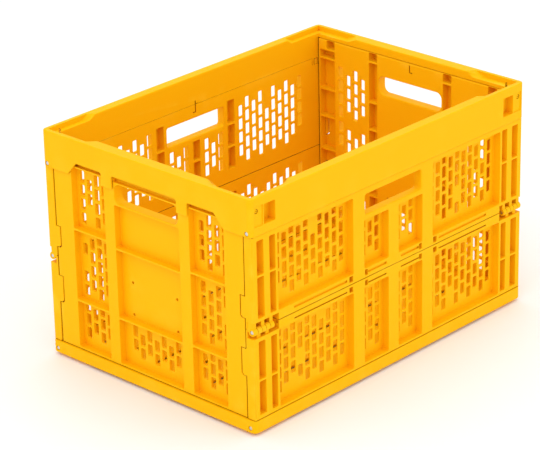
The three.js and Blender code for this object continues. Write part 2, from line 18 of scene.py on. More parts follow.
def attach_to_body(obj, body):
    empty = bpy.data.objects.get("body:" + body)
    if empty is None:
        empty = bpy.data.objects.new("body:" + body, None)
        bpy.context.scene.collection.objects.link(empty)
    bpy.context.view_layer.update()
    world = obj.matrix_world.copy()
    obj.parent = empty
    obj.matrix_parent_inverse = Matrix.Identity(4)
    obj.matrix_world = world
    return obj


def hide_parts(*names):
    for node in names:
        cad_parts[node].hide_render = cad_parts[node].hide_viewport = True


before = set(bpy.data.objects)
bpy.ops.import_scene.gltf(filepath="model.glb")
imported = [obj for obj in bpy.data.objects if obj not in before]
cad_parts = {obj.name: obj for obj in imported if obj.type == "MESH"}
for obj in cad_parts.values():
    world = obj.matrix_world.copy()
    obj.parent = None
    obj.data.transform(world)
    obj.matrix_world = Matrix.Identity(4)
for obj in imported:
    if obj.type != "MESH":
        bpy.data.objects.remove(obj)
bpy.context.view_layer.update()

MM = 0.001
HALF_LENGTH = 265.0
HALF_WIDTH = 183.0
HEIGHT = 318.0
CORNER_ROUND = 7.0  # upright corners of the frame and the base
SKIRT_Z = 268.0
BELOW_SKIRT = SKIRT_Z - 1  # where cutters start that come up through the skirt's edge
GAP = 0.4  # room on each side of a joint line

EDGE = 0.7  # rounding of outer edges
FILLET = 0.5  # rounding in the bottom of a pocket
PROUD = 0.2  # how far a cutter stands proud of the face it cuts
SKIN = 2.6  # thickness of walls and ribs
WINDOW_ROUND = 2.0
POCKET_ROUND = 1.2

# mesh of upright slots
SLOT_WIDE = 8.2
SLOT_TALL = 15.9
SLOT_ROUND = 1.5
SLOT_ROW = 19.5

# long side panels
SIDE_FACE = 1.2
SIDE_BACK = 15.0
SIDE_END = 262.0
SIDE_BOTTOM = 21.6
SIDE_FLOOR = SIDE_BACK - SKIN  # depth of the pockets from outside
SEAM_Z = 144.0

# end panels
END_FACE = 3.4
END_BACK = 18.4
END_FLOOR = END_BACK - 4.5  # outer face of the mesh
END_SETBACK = 8.6  # the panel behind the skirt's openings, above the windows
END_HALF = 166.4
END_PIVOT_DEPTH = 12.0
END_PIVOT_Z = 300.0
END_TOP_RADIUS = 7.5
END_TOP_STEPS = 16
END_TOP = 303.9  # where the inner face ends below the frame's lip
END_BOTTOM = 22.0

# hinge axes of the long sides: distance in from the side's face, and height
TOP_PIN = (7.8, 272.5)
MID_PIN = (5.1, 141.25)
BASE_PIN = (9.0, 10.0)
PIN_RADIUS = 2.5
PIN_STEPS = 20  # flats round a hinge pin, its holes and its barrels
PIN_ROOM = 0.3  # radial room round a pin in the side panels
HOLE_RADIUS = 2.9  # of the pin holes in the frame and the base
TOP_BARREL = 4.4
MID_BARREL = 5.0
BASE_BARREL = 4.6

# tabs of the side panels that lap over the end panels' edges, and the notches they lie in
UPPER_TAB = (158.0, 187.0)
LOWER_TAB = (79.5, 116.5)
TAB_DEPTH = (3.0, 8.0)
TAB_REACH = 7.5
TAB_RAMP = 3.0
NOTCH_BACK = 8.4
NOTCH_REACH = 7.6
NOTCH_ROOM = 0.8


# ---------- where a point goes ----------

def on_side(u, v, w):
    return (u, w - HALF_WIDTH, v)


def on_far_side(u, v, w):
    return (u, HALF_WIDTH - w, v)


def on_end(u, v, w):
    return (w - HALF_LENGTH, u, v)


def on_end_section(u, v, w):
    """Depth and height, and then along the end."""
    return (u - HALF_LENGTH, w, v)


def on_plan(u, v, w):
    return (u, v, w)


def along_x(y, z):
    """Places an outline about an axis along X, at a distance in from the front end."""
    def place(u, v, w):
        return (w - HALF_LENGTH, u + y, v + z)
    return place


# ---------- outlines ----------

def both(low, high):
    """A range and the same range mirrored in zero."""
    return ((low, high), (-high, -low))


def split(z, ribs):
    """Height ranges between ribs."""
    edges = [z[0]] + [edge for rib in ribs for edge in (rib - SKIN / 2, rib + SKIN / 2)] + [z[1]]
    return list(zip(edges[::2], edges[1::2]))


def mirrored_points(points):
    """The same outline mirrored in zero, and still anticlockwise."""
    return [(-u, v) for u, v in reversed(points)]


def rect(u, v, radius=0.0, steps=3):
    """A rectangle between two ranges, with round corners. Call it with a growth for its loop."""
    def loop(grow):
        round_by = max(radius + grow, 0.0) if radius > 0 else 0.0
        points = []
        corners = ((u[1], v[1], 0), (u[0], v[1], 1), (u[0], v[0], 2), (u[1], v[0], 3))
        for cu, cv, quarter in corners:
            sign_u = 1 if quarter in (0, 3) else -1
            sign_v = 1 if quarter in (0, 1) else -1
            mid_u = cu + sign_u * (grow - round_by)
            mid_v = cv + sign_v * (grow - round_by)
            if radius <= 0:
                points.append((mid_u, mid_v))
                continue
            for step in range(steps + 1):
                angle = math.pi / 2 * (quarter + step / steps)
                points.append((mid_u + round_by * math.cos(angle), mid_v + round_by * math.sin(angle)))
        return points
    return loop


def disc(u, v, radius, steps=24):
    """A circle about a point."""
    def loop(grow):
        size = radius + grow
        turns = [2 * math.pi * step / steps for step in range(steps)]
        return [(u + size * math.cos(turn), v + size * math.sin(turn)) for turn in turns]
    return loop


def polygon(points):
    """A polygon, anticlockwise. It grows by moving each edge outwards."""
    def loop(grow):
        moved = []
        count = len(points)
        for index, here in enumerate(points):
            before = Vector(points[index - 1])
            after = Vector(points[(index + 1) % count])
            here = Vector(here)
            into = (here - before).normalized()
            away = (after - here).normalized()
            normal = Vector((into.y, -into.x)) + Vector((away.y, -away.x))
            moved.append(tuple(here + normal * grow / max(normal.length_squared / 2, 0.05)))
        return moved
    return loop


# ---------- how an outline changes with depth ----------

# points on a quarter round, as fractions of its radius: how deep, and how far across
QUARTER_ROUND = ((0, 0), (0.29, 0.71), (1, 1))


def slab(near, far, edge=EDGE):
    """A solid between two depths with rounded edges."""
    front = [(-edge * (1 - across), near + edge * deep) for deep, across in QUARTER_ROUND]
    back = [(grow, far - (depth - near)) for grow, depth in reversed(front)]
    return front + back


def pocket(near, floor, edge=0.35, fillet=FILLET):
    """A cutter that goes in at one depth, with a rounded mouth, and stops at a floor."""
    way = 1 if floor > near else -1
    rings = [(edge + PROUD, near - way * PROUD)]
    rings += [(edge * (1 - across), near + way * edge * deep) for deep, across in QUARTER_ROUND]
    rings += [(-fillet * deep, floor - way * fillet * (1 - across)) for deep, across in QUARTER_ROUND]
    return rings


def through(near, far, edge=0.5):
    """A cutter that goes right through, with both mouths rounded."""
    return [
        (edge + PROUD, near - PROUD),
        (edge, near),
        (0.0, near + edge),
        (0.0, far - edge),
        (edge, far),
        (edge + PROUD, far + PROUD),
    ]


def straight(near, far):
    return [(0.0, near), (0.0, far)]


def engraved(face, depth):
    """A shallow cutter into a face that looks into the crate."""
    return [(PROUD, face + PROUD), (0.0, face), (0.0, face - depth)]


def out_of_end(start):
    """A hole from inside the crate out through its end, with a widened mouth."""
    return [(0.0, start), (0.0, HALF_LENGTH - 0.6), (0.8, HALF_LENGTH + PROUD)]


# ---------- solids that are used more than once ----------

def block(x, y, z):
    """A plain block between three ranges."""
    return rect(x, y), straight(*z), on_plan


def both_ends(shape, rings, place):
    """A solid and its mirror image at the other end of the crate."""
    def mirrored(u, v, w):
        x, y, z = place(u, v, w)
        return (-x, y, z)
    return [(shape, rings, place), (shape, rings, mirrored)]


def rod(pin, radius, start, end, edge=0.4):
    """A rod along X about a hinge axis. Start and end are measured from the front end."""
    return disc(0, 0, radius, PIN_STEPS), slab(start, end, edge), along_x(pin[0] - HALF_WIDTH, pin[1])


def bar(y, z, start, end, edge=0.4):
    """A block along X. y is measured in from the side's outline."""
    return rect((y[0] - HALF_WIDTH, y[1] - HALF_WIDTH), z), slab(start, end, edge), on_end


def catch_lines(top, bottom, face, place):
    """A J-shaped line round a moulded catch at the middle: an upright stroke, then a short foot."""
    stroke = rect((-1.0, 1.0), (bottom, top), 0.4)
    foot = rect((1.0, 5.0), (bottom, bottom + 1.8), 0.4)
    rings = engraved(face, 2.0)
    return [[(stroke, rings, place)], [(foot, rings, place)]]


def pin_holes(pin, start):
    """Four holes for hinge pins, one in each corner, open at the crate's ends."""
    holes = []
    for side in (-1, 1):
        for end in (-1, 1):
            def place(u, v, w, side=side, end=end):
                return (end * w, u + side * (HALF_WIDTH - pin[0]), v + pin[1])
            holes.append((disc(0, 0, HOLE_RADIUS, PIN_STEPS), out_of_end(start), place))
    return holes


def at_pivot(side, end):
    """Places an outline about an end panel's pivot axis, at a distance from the crate's middle."""
    def place(u, v, w):
        return (u + end * (HALF_LENGTH - END_PIVOT_DEPTH), side * w, v + END_PIVOT_Z)
    return place


# ---------- meshes ----------

def add_solid(bm, shape, rings, place):
    loops = []
    for grow, depth in rings:
        loops.append([bm.verts.new(Vector(place(u, v, depth)) * MM) for u, v in shape(grow)])
    for near, far in zip(loops, loops[1:]):
        for index in range(len(near)):
            after = (index + 1) % len(near)
            bm.faces.new((near[index], near[after], far[after], far[index]))
    bm.faces.new(list(reversed(loops[0])))
    bm.faces.new(loops[-1])


def build(name, solids):
    """One object holding solids that don't touch each other."""
    bm = bmesh.new()
    for solid in solids:
        add_solid(bm, *solid)
    bmesh.ops.recalc_face_normals(bm, faces=bm.faces)
    mesh = bpy.data.meshes.new(name)
    bm.to_mesh(mesh)
    bm.free()
    obj = bpy.data.objects.new(name, mesh)
    bpy.context.scene.collection.objects.link(obj)
    return obj


def combine(obj, solids, operation):
    """Adds solids to an object or takes them away. They must not touch each other."""
    tool = build("tool", solids)
    modifier = obj.modifiers.new("combine", "BOOLEAN")
    modifier.operation = operation
    modifier.object = tool
    modifier.solver = "MANIFOLD"
    bpy.context.view_layer.update()
    result = bpy.data.meshes.new_from_object(obj.evaluated_get(bpy.context.evaluated_depsgraph_get()))
    obj.modifiers.clear()
    old = obj.data
    obj.data = result
    bpy.data.meshes.remove(old)
    tool_mesh = tool.data
    bpy.data.objects.remove(tool)
    bpy.data.meshes.remove(tool_mesh)
    if not obj.data.vertices:
        raise ValueError("nothing is left of " + obj.name)


def cut(obj, solids):
    combine(obj, solids, "DIFFERENCE")


def join(obj, solids):
    combine(obj, solids, "UNION")


def shade(obj):
    obj.data.shade_smooth()
    obj.data.set_sharp_from_angle(angle=math.radians(50))
    weighted = obj.modifiers.new("weighted_normals", "WEIGHTED_NORMAL")
    weighted.keep_sharp = True
    return obj


# ---------- mesh slots ----------

def slot_grid(columns, column_pitch, middle, rows_z, seed, missing=0.0, first_low=False):
    """Staggered upright slots that fill a height range. A share of them is missing at random."""
    pick = random.Random(seed)
    found = []
    first = middle - (columns - 1) * column_pitch / 2
    for column in range(columns):
        u = first + column * column_pitch
        shifted = (column % 2 == 1) != first_low
        top = rows_z[1] - (SLOT_ROW / 2 if shifted else 0.0)
        while top - SLOT_TALL >= rows_z[0] - 0.01:
            if pick.random() >= missing:
                across = (u - SLOT_WIDE / 2, u + SLOT_WIDE / 2)
                found.append(rect(across, (top - SLOT_TALL, top), SLOT_ROUND))
            top -= SLOT_ROW
    return found


# ---------- long side panels ----------

# ranges across are measured from the middle of the side
SIDE_COLUMN = 13.2  # between columns of slots
WINDOW = (78.0, 217.0)
WINDOW_COLUMNS = 10
WINDOW_MISSING = 0.03  # share of the slots that stay closed
CENTRE_WINDOW = (10.0, 57.0)
CENTRE_COLUMNS = 3
CENTRE_SEED = 7  # added to the seed of the windows
CENTRE_BAND = (-6.6, 6.6)  # pockets open to the inside, as the next
BAND = (61.0, 75.0)
POSTS = ((221.0, 231.5), (242.0, 254.0))
LONG_GROOVES = ((90.0, 189.0), (14.0, 50.0))  # beside the seam, as the next
SEAM_POCKETS = ((79.0, 86.0), (50.6, 56.0))
GRIP = (-54.5, 54.5)
GRIP_Z = (231.0, 258.0)
RISER_HALF = 234.6  # the upper panel's inner part, which rises behind the skirt
RISER_FACE = 3.2
RISER_TOP = 277.6
TOP_BARREL_X = (4.0, 29.0)  # from the crate's end, as the next two
BASE_BARREL_X = (3.4, 39.0)
MID_ROOM_X = (2.0, 48.0)

# middle hinge: where the knuckles are, and the heights of the room for them and of their arms
MID_KNUCKLES = {
    "upper": ((3.0, 9.6), (17.8, 24.4), (32.6, 39.2)),
    "lower": ((10.2, 17.2), (25.0, 32.0)),
}
MID_ROOM_Z = {"upper": (MID_PIN[1] - 8, SEAM_Z + 10), "lower": (MID_PIN[1] - 9, SEAM_Z + 1)}
MID_ARM_Z = {"upper": (MID_PIN[1] - 1, SEAM_Z + 11), "lower": (MID_PIN[1] - 12, MID_PIN[1] + 1)}


def side_recess(u, v, radius):
    """A recess in a side panel's outer face."""
    return rect(u, v, radius), pocket(SIDE_FACE, SIDE_FLOOR), on_side


def side_inner_pocket(u, v):
    """A pocket in a side panel that is open to the inside."""
    return rect(u, v, POCKET_ROUND), pocket(SIDE_BACK, SIDE_FACE + SKIN), on_side


def side_windows(panel, window_z, centre_z, mesh_z, centre_mesh_z, seed):
    recesses = []
    shapes = []
    for index, u in enumerate(both(*WINDOW)):
        recesses.append(side_recess(u, window_z, WINDOW_ROUND))
        middle = sum(u) / 2
        shapes += slot_grid(WINDOW_COLUMNS, SIDE_COLUMN, middle, mesh_z, seed + index, WINDOW_MISSING)
    seed += CENTRE_SEED
    for index, u in enumerate(both(*CENTRE_WINDOW)):
        recesses.append(side_recess(u, centre_z, WINDOW_ROUND))
        middle = sum(u) / 2
        shapes += slot_grid(CENTRE_COLUMNS, SIDE_COLUMN, middle, centre_mesh_z, seed + index)
    cut(panel, recesses)
    cut(panel, [(shape, through(SIDE_FLOOR, SIDE_BACK), on_side) for shape in shapes])


def side_pockets(panel, post_z, post_rib, band_z, band_ribs, centre_pockets_z):
    """Pockets in the corner posts, open to the outside, and in the bands, open to the inside."""
    outside = []
    for post in POSTS:
        for u in both(*post):
            outside += [side_recess(u, v, POCKET_ROUND) for v in split(post_z, (post_rib,))]
    cut(panel, outside)
    inside = []
    for v in split(band_z, band_ribs):
        inside += [side_inner_pocket(u, v) for u in both(*BAND)]
    inside += [side_inner_pocket(CENTRE_BAND, v) for v in centre_pockets_z]
    cut(panel, inside)


def seam_grooves(panel, groove_z, pocket_z):
    """Beside the seam: a groove by each window, and a small deep pocket at the window's inner end."""
    grooves = []
    for across, z, floor in (
        (LONG_GROOVES, groove_z, SIDE_FACE + 2.2),
        (SEAM_POCKETS, pocket_z, SIDE_FLOOR),
    ):
        for low, high in across:
            for u in both(low, high):
                grooves.append((rect(u, z, 0.8), pocket(SIDE_FACE, floor, 0.3, 0.3), on_side))
    cut(panel, grooves)


def lock_tabs(low, high):
    """A tab at each end that laps over the end panel's edge. Its outline lies on the end's face."""
    inner = SIDE_BACK - HALF_WIDTH
    root = inner - 2
    tip = inner + TAB_REACH
    points = [(root, low), (tip - TAB_RAMP, low), (tip, low + TAB_RAMP), (tip, high), (root, high)]
    return both_ends(polygon(points), slab(*TAB_DEPTH, 0.5), on_end)


def pin_bores(pin, end):
    """The holes for a hinge pin at both ends of a side panel, up to a distance from the crate's end."""
    place = along_x(pin[0] - HALF_WIDTH, pin[1])
    return both_ends(disc(0, 0, PIN_RADIUS + PIN_ROOM, PIN_STEPS), straight(2.0, end), place)


def barrels(panel, pin, radius, z, x):
    """A barrel about a hinge axis at both ends of a side panel, and the block that carries it."""
    join(panel, both_ends(*bar((pin[0] - radius, pin[0] + radius), z, *x)))
    join(panel, both_ends(*rod(pin, radius, *x)))


def mid_hinge(panel, name):
    """Room round the barrel, then this panel's knuckles, each on its own arm."""
    cut(panel, both_ends(*bar((SIDE_FACE - PROUD, SIDE_FLOOR), MID_ROOM_Z[name], *MID_ROOM_X, 0.3)))
    knuckles = []
    arms = []
    for start, end in MID_KNUCKLES[name]:
        knuckles += both_ends(*rod(MID_PIN, MID_BARREL, start, end))
        arms += both_ends(*bar((3.2, SIDE_FLOOR + 1), MID_ARM_Z[name], start + GAP, end - GAP, 0.3))
    join(panel, arms)
    join(panel, knuckles)
    cut(panel, pin_bores(MID_PIN, 50.0))


def upper_side():
    z = (SEAM_Z + GAP, SKIRT_Z - GAP)
    panel = build("side_upper", [(rect((-SIDE_END, SIDE_END), z), slab(SIDE_FACE, SIDE_BACK), on_side)])
    riser = rect((-RISER_HALF, RISER_HALF), (z[1] - 2, RISER_TOP))
    join(panel, [(riser, slab(RISER_FACE, SIDE_BACK, 0.5), on_side)])
    side_windows(
        panel,
        window_z=(157.2, 260.6),
        centre_z=(157.2, 224.0),
        mesh_z=(162.0, 260.0),
        centre_mesh_z=(163.0, 222.0),
        seed=11,
    )
    side_pockets(
        panel,
        post_z=(158.2, 261.0),
        post_rib=214.0,
        band_z=(164.0, 264.0),
        band_ribs=(196.0, 229.0),
        centre_pockets_z=((165.0, 194.0), (197.0, 225.0)),
    )
    cut(panel, [(rect(GRIP, GRIP_Z, 3.0), through(SIDE_FACE, SIDE_BACK, 1.6), on_side)])
    seam_grooves(panel, groove_z=(150.0, 153.4), pocket_z=(147.4, 155.6))
    for lines in catch_lines(279.0, 266.0, SIDE_BACK, on_side):
        cut(panel, lines)
    mid_hinge(panel, "upper")
    barrels(panel, TOP_PIN, TOP_BARREL, (z[1] - 2, TOP_PIN[1]), TOP_BARREL_X)
    join(panel, lock_tabs(*UPPER_TAB))
    cut(panel, pin_bores(TOP_PIN, 30.0))
    return shade(panel)


def lower_side():
    z = (SIDE_BOTTOM, SEAM_Z - GAP)
    panel = build("side_lower", [(rect((-SIDE_END, SIDE_END), z), slab(SIDE_FACE, SIDE_BACK), on_side)])
    side_windows(
        panel,
        window_z=(25.0, 131.0),
        centre_z=(25.0, 131.0),
        mesh_z=(31.0, 129.0),
        centre_mesh_z=(31.0, 129.0),
        seed=31,
    )
    side_pockets(
        panel,
        post_z=(27.0, 127.0),
        post_rib=74.0,
        band_z=(30.0, 128.0),
        band_ribs=(62.0, 96.0),
        centre_pockets_z=((30.0, 78.0), (81.0, 128.0)),
    )
    seam_grooves(panel, groove_z=(135.2, 137.2), pocket_z=(133.2, 140.6))
    mid_hinge(panel, "lower")
    barrels(panel, BASE_PIN, BASE_BARREL, (BASE_PIN[1], z[0] + 2), BASE_BARREL_X)
    join(panel, lock_tabs(*LOWER_TAB))
    cut(panel, pin_bores(BASE_PIN, 42.0))
    return shade(panel)


# ---------- end panels ----------

# ranges across are measured from the middle of the end
END_CENTRE = (-57.0, 57.0)
END_CENTRE_Z = (24.4, 246.0)
END_CENTRE_RIBS = (88.5, 185.5)
END_WINDOW = (75.0, 134.0)
END_WINDOW_Z = (24.4, 277.8)
END_RIBS = (91.0, 191.5)
END_WINDOW_SETBACK_Z = (279.8, 291.0)
END_GRIP = (-55.8, 55.8)
END_GRIP_Z = (248.6, 275.2)
END_GRIP_SETBACK_Z = (277.4, 291.0)
END_COLUMN = 13.3  # between columns of slots in the windows
END_COLUMNS = 4
END_MISSING = 0.04
END_SEED = 51  # each window's levels count on from it, and the second window starts five later
END_MESH_MIDDLE = 105.8
END_MESH_Z = (28.0, 271.2)
CENTRE_COLUMN = 12.9  # the same in the low centre field
END_CENTRE_COLUMNS = 7
CENTRE_MESH_Z = (31.0, 80.0)
SMALL_HOLES = [(u, v) for u in (-39.5, 39.5) for v in (140.0, 95.0)]  # small holes in the blank field
PIVOT_HOLE = 2.8
PIVOT_HOLE_START = 154.0

# pockets open to the inside: across, heights, and the ribs that split them
END_INNER_POCKETS = (
    ((58.6, 73.4), (27.0, 305.0), (91.0, 142.0, 190.8, 231.9, 291.5)),
    ((136.6, 164.0), (27.0, 290.2), (50.0, 96.0, 141.0, 190.6, 232.0, 278.1)),
    ((136.6, 151.5), (292.8, 305.0), ()),
)


def end_profile():
    """The end panel's section, as depth and height. Its top is round about the pivot."""
    start = math.asin((END_TOP - END_PIVOT_Z) / END_TOP_RADIUS)
    points = [(END_FACE, END_BOTTOM), (END_BACK, END_BOTTOM), (END_BACK, END_TOP)]
    for step in range(END_TOP_STEPS + 1):
        angle = start + (math.pi - start) * step / END_TOP_STEPS
        depth = END_PIVOT_DEPTH + END_TOP_RADIUS * math.cos(angle)
        points.append((depth, END_PIVOT_Z + END_TOP_RADIUS * math.sin(angle)))
    points.append((END_FACE, END_PIVOT_Z - 2))
    return points


def end_recess(u, v, radius, floor):
    """A recess in the outer face, down to a floor."""
    return rect(u, v, radius), pocket(END_FACE, floor), on_end


def end_windows(panel):
    """The recesses in the outer face, then the slots and small holes in their floors."""
    recesses = []
    for v in split(END_CENTRE_Z, END_CENTRE_RIBS):
        recesses.append(end_recess(END_CENTRE, v, WINDOW_ROUND, END_FLOOR))
    shapes = []
    for index, u in enumerate(both(*END_WINDOW)):
        recesses.append(end_recess(u, END_WINDOW_SETBACK_Z, 1.0, END_SETBACK))
        middle = math.copysign(END_MESH_MIDDLE, u[0])
        for level, v in enumerate(split(END_WINDOW_Z, END_RIBS)):
            recesses.append(end_recess(u, v, WINDOW_ROUND, END_FLOOR))
            mesh_z = (max(v[0] + 1.5, END_MESH_Z[0]), min(v[1] - 0.5, END_MESH_Z[1]))
            seed = END_SEED + 5 * index + level
            shapes += slot_grid(END_COLUMNS, END_COLUMN, middle, mesh_z, seed, END_MISSING, index == 0)
    shapes += slot_grid(END_CENTRE_COLUMNS, CENTRE_COLUMN, 0.0, CENTRE_MESH_Z, seed=71)
    slots = [(shape, through(END_FLOOR, END_BACK), on_end) for shape in shapes]
    holes = [(disc(u, v, 2.0, 12), through(END_FLOOR, END_BACK, 0.3), on_end) for u, v in SMALL_HOLES]
    cut(panel, recesses)
    cut(panel, slots + holes)


def end_grip(panel):
    """The grip hole. A bead frames it, and the panel is set back above the bead."""
    cut(panel, [end_recess(END_CENTRE, END_GRIP_SETBACK_Z, 1.0, END_SETBACK)])
    cut(panel, [(rect(END_GRIP, END_GRIP_Z, 9.0, 6), through(END_FACE, END_BACK, 1.0), on_end)])


def end_inside(panel):
    """The pockets and the catch line in the inner face."""
    inside = []
    for across, z, ribs in END_INNER_POCKETS:
        for u in both(*across):
            for v in split(z, ribs):
                inside.append((rect(u, v, POCKET_ROUND), pocket(END_BACK, END_FACE + SKIN), on_end))
    cut(panel, inside)
    for lines in catch_lines(303.0, 291.5, END_BACK, on_end):
        cut(panel, lines)


def tab_notches():
    """Notches in the panel's upright edges, with room for the side panels' tabs."""
    notches = []
    edge = END_HALF + 1
    inner = END_HALF - NOTCH_REACH
    for low, high in (UPPER_TAB, LOWER_TAB):
        start = low - NOTCH_ROOM
        end = high + NOTCH_ROOM
        points = [(inner, end), (inner, start + TAB_RAMP), (inner + TAB_RAMP, start)]
        points += [(edge, start), (edge, end)]
        for shape in (points, mirrored_points(points)):
            notches.append((polygon(shape), straight(END_FACE - 1, NOTCH_BACK), on_end))
    return notches


def end_panel():
    body = slab(-END_HALF, END_HALF, 0.6)
    panel = build("end_panel", [(polygon(end_profile()), body, on_end_section)])
    end_windows(panel)
    end_grip(panel)
    end_inside(panel)
    cut(panel, tab_notches())
    hole = disc(0, 0, PIVOT_HOLE, PIN_STEPS)
    depths = straight(PIVOT_HOLE_START, END_HALF + 1)
    cut(panel, [(hole, depths, at_pivot(side, -1)) for side in (-1, 1)])
    return shade(panel)


# ---------- top frame ----------

# outline of the frame and the base
OUTLINE = rect((-HALF_LENGTH, HALF_LENGTH), (-HALF_WIDTH, HALF_WIDTH), CORNER_ROUND, 6)
MOUTH = rect((-247.0, 247.0), (-168.0, 168.0), 1.5)
SIDE_CHANNEL = (170.2, 180.2)  # across the frame, over the side panels
END_CHANNEL_Y = (-168.0, 168.0)
CHANNEL_END = 262.0  # where the hollows stop, short of the crate's ends
LIP_Z = 306.9  # underside of the lip in front of the end panels' tops
RIM_STEP = 6.5
STEP_LONG = (202.0, 190.0)  # beside the outer lip: where the low rim starts, and the top of its ramp
STEP_SHORT = (123.0, 107.0)
LIP_LONG = 176.6  # inner faces of the rim's outer lip
LIP_SHORT = 258.6
PIVOT_OPENING = 3.2  # radius of the hole for a pivot pin in the frame


def frame_hollows():
    """Batches of cutters that hollow the frame from below. Cutters in one batch don't touch."""
    over_sides = []
    for y in both(*SIDE_CHANNEL):
        over_sides.append(block((-219.0, 219.0), y, (BELOW_SKIRT, 309.5)))
        over_sides += [block(x, y, (BELOW_SKIRT, 277.9)) for x in both(235.01, CHANNEL_END)]
    over_ends = [block(x, END_CHANNEL_Y, (BELOW_SKIRT, LIP_Z)) for x in both(243.0, CHANNEL_END)]
    behind_lip = [block(x, END_CHANNEL_Y, (LIP_Z - 0.9, 310.5)) for x in both(250.0, CHANNEL_END)]
    for_risers = [block((-235.0, 235.0), y, (BELOW_SKIRT, 278.0)) for y in both(166.0, SIDE_CHANNEL[1])]
    return over_sides, over_ends, behind_lip, for_risers


def skirt_cuts():
    """Openings in the lower edge of the short skirts, over the grip and over the mesh windows."""
    low, high = BELOW_SKIRT, 286.0
    over_grip = [(-57, low), (57, low), (57, high - 2), (55, high), (-55, high), (-57, high - 2)]
    over_window = [(75.5, low), (138, low), (121, high), (77.5, high), (75.5, high - 2)]
    cuts = []
    for points in (over_grip, over_window, mirrored_points(over_window)):
        cuts += both_ends(polygon(points), through(0.0, 3.0), on_end)
    return cuts


def rim_steps():
    """The inner half of the rim is lower at each corner, and ramps up to full height on a diagonal."""
    long_legs = []
    short_legs = []
    corners = []
    low, top = HEIGHT - RIM_STEP, HEIGHT + 1

    def outline(corner, step):
        slope = [(step[1] - 1, top), (step[1], HEIGHT), (step[0], low)]
        return polygon([(corner, low), (corner, top)] + slope)

    for sx in (-1, 1):
        for sy in (-1, 1):
            def long_leg(u, v, w, sx=sx, sy=sy):
                return (sx * (u - (LIP_LONG - w)), sy * w, v)

            def short_leg(u, v, w, sx=sx, sy=sy):
                return (sx * w, sy * (u - (LIP_SHORT - w)), v)

            long_legs.append((outline(LIP_SHORT, STEP_LONG), straight(165.0, LIP_LONG), long_leg))
            short_legs.append((outline(LIP_LONG, STEP_SHORT), straight(244.0, LIP_SHORT), short_leg))
            x = sorted((sx * 249.0, sx * LIP_SHORT))
            y = sorted((sy * 167.0, sy * LIP_LONG))
            corners.append(block(x, y, (low, top)))
    return long_legs, short_legs, corners


def corner_pockets():
    """A deep pocket in the long skirts beside each corner, and a shallow one round the end pivot."""
    cuts = []
    for place in (on_side, on_far_side):
        for u in both(221.0, 241.0):
            cuts.append((rect(u, (280.0, 306.0), 1.0), pocket(0.0, 11.5), place))
        for u in both(242.6, 258.0):
            cuts.append((rect(u, (280.0, 307.0), 1.5), pocket(0.0, 1.4, fillet=0.4), place))
    return cuts


def corner_catches():
    """A U-shaped line on the inner face of each corner, open at the frame's lower edge."""
    near, far = 238.0, 246.0
    top = 277.0
    line = 1.3
    points = [(near, BELOW_SKIRT), (near + line, BELOW_SKIRT), (near + line, top - line)]
    points += [(far - line, top - line), (far - line, BELOW_SKIRT), (far, BELOW_SKIRT)]
    points += [(far, top), (near, top)]
    cuts = []
    for place in (on_side, on_far_side):
        for shape in (points, mirrored_points(points)):
            cuts.append((polygon(shape), engraved(SIDE_BACK, 1.2), place))
    return cuts


def pivot_openings():
    """Holes right through both walls of the long skirts for the end panels' pivot pins."""
    shape = disc(0, 0, PIVOT_OPENING, PIN_STEPS)
    depths = straight(166.0, HALF_WIDTH + 1)
    return [(shape, depths, at_pivot(side, end)) for side in (-1, 1) for end in (-1, 1)]


def top_frame():
    rings = [
        (-0.6, SKIRT_Z),
        (0.0, SKIRT_Z + 0.7),
        (0.0, HEIGHT - 1.6),
        (-0.4, HEIGHT - 0.5),
        (-1.4, HEIGHT),
    ]
    body = build("top_frame_look", [(OUTLINE, rings, on_plan)])
    mouth_rings = [
        (0.0, BELOW_SKIRT),
        (0.0, HEIGHT - 1.2),
        (0.4, HEIGHT - 0.4),
        (1.2, HEIGHT),
        (1.4, HEIGHT + PROUD),
    ]
    cut(body, [(MOUTH, mouth_rings, on_plan)])
    for hollows in frame_hollows():
        cut(body, hollows)
    cut(body, skirt_cuts())
    for steps in rim_steps():
        cut(body, steps)
    cut(body, corner_pockets())
    for place in (on_side, on_far_side):
        for lines in catch_lines(283.0, 277.0, SIDE_BACK, place):
            cut(body, lines)
    cut(body, corner_catches())
    cut(body, pin_holes(TOP_PIN, 230.0) + pivot_openings())
    return shade(body)


# ---------- base tray ----------

BASE_TOP = 21.0
FLOOR = (5.0, 8.0)
FLOOR_BOTTOM = FLOOR[0] - 0.1
FOOT_TOP = 4.0
BETWEEN_FEET = (204.0, 125.0)  # half lengths of the gaps between feet, along X and along Y
INSIDE = rect((-248.0, 248.0), (-166.0, 166.0), 3.0)
SLOT_PITCH = (92.0, 48.0)  # of the floor slots, along X and along Y
SLOT_HALF = (30.0, 2.6)
RIB_HALF = 1.2
BETWEEN_SLOTS = [step + 0.5 for step in range(-3, 3)]


def floor_slots():
    slots = []
    for i in range(-2, 3):
        for j in range(-3, 4):
            u = (i * SLOT_PITCH[0] - SLOT_HALF[0], i * SLOT_PITCH[0] + SLOT_HALF[0])
            v = (j * SLOT_PITCH[1] - SLOT_HALF[1], j * SLOT_PITCH[1] + SLOT_HALF[1])
            slots.append((rect(u, v, 2.2), through(FLOOR_BOTTOM, FLOOR[1]), on_plan))
    return slots


def floor_ribs():
    """The ribs under the floor along X, and those along Y."""
    along = []
    across = []
    for step in BETWEEN_SLOTS:
        x = step * SLOT_PITCH[0]
        y = step * SLOT_PITCH[1]
        along_rings = [(-0.3, 1.0), (0.0, FLOOR[0] + 0.5)]
        across_rings = [(-0.3, 0.8), (0.0, FLOOR[0] + 0.6)]
        along.append((rect((-249.0, 249.0), (y - RIB_HALF, y + RIB_HALF)), along_rings, on_plan))
        across.append((rect((x - RIB_HALF, x + RIB_HALF), (-167.0, 167.0)), across_rings, on_plan))
    return along, across


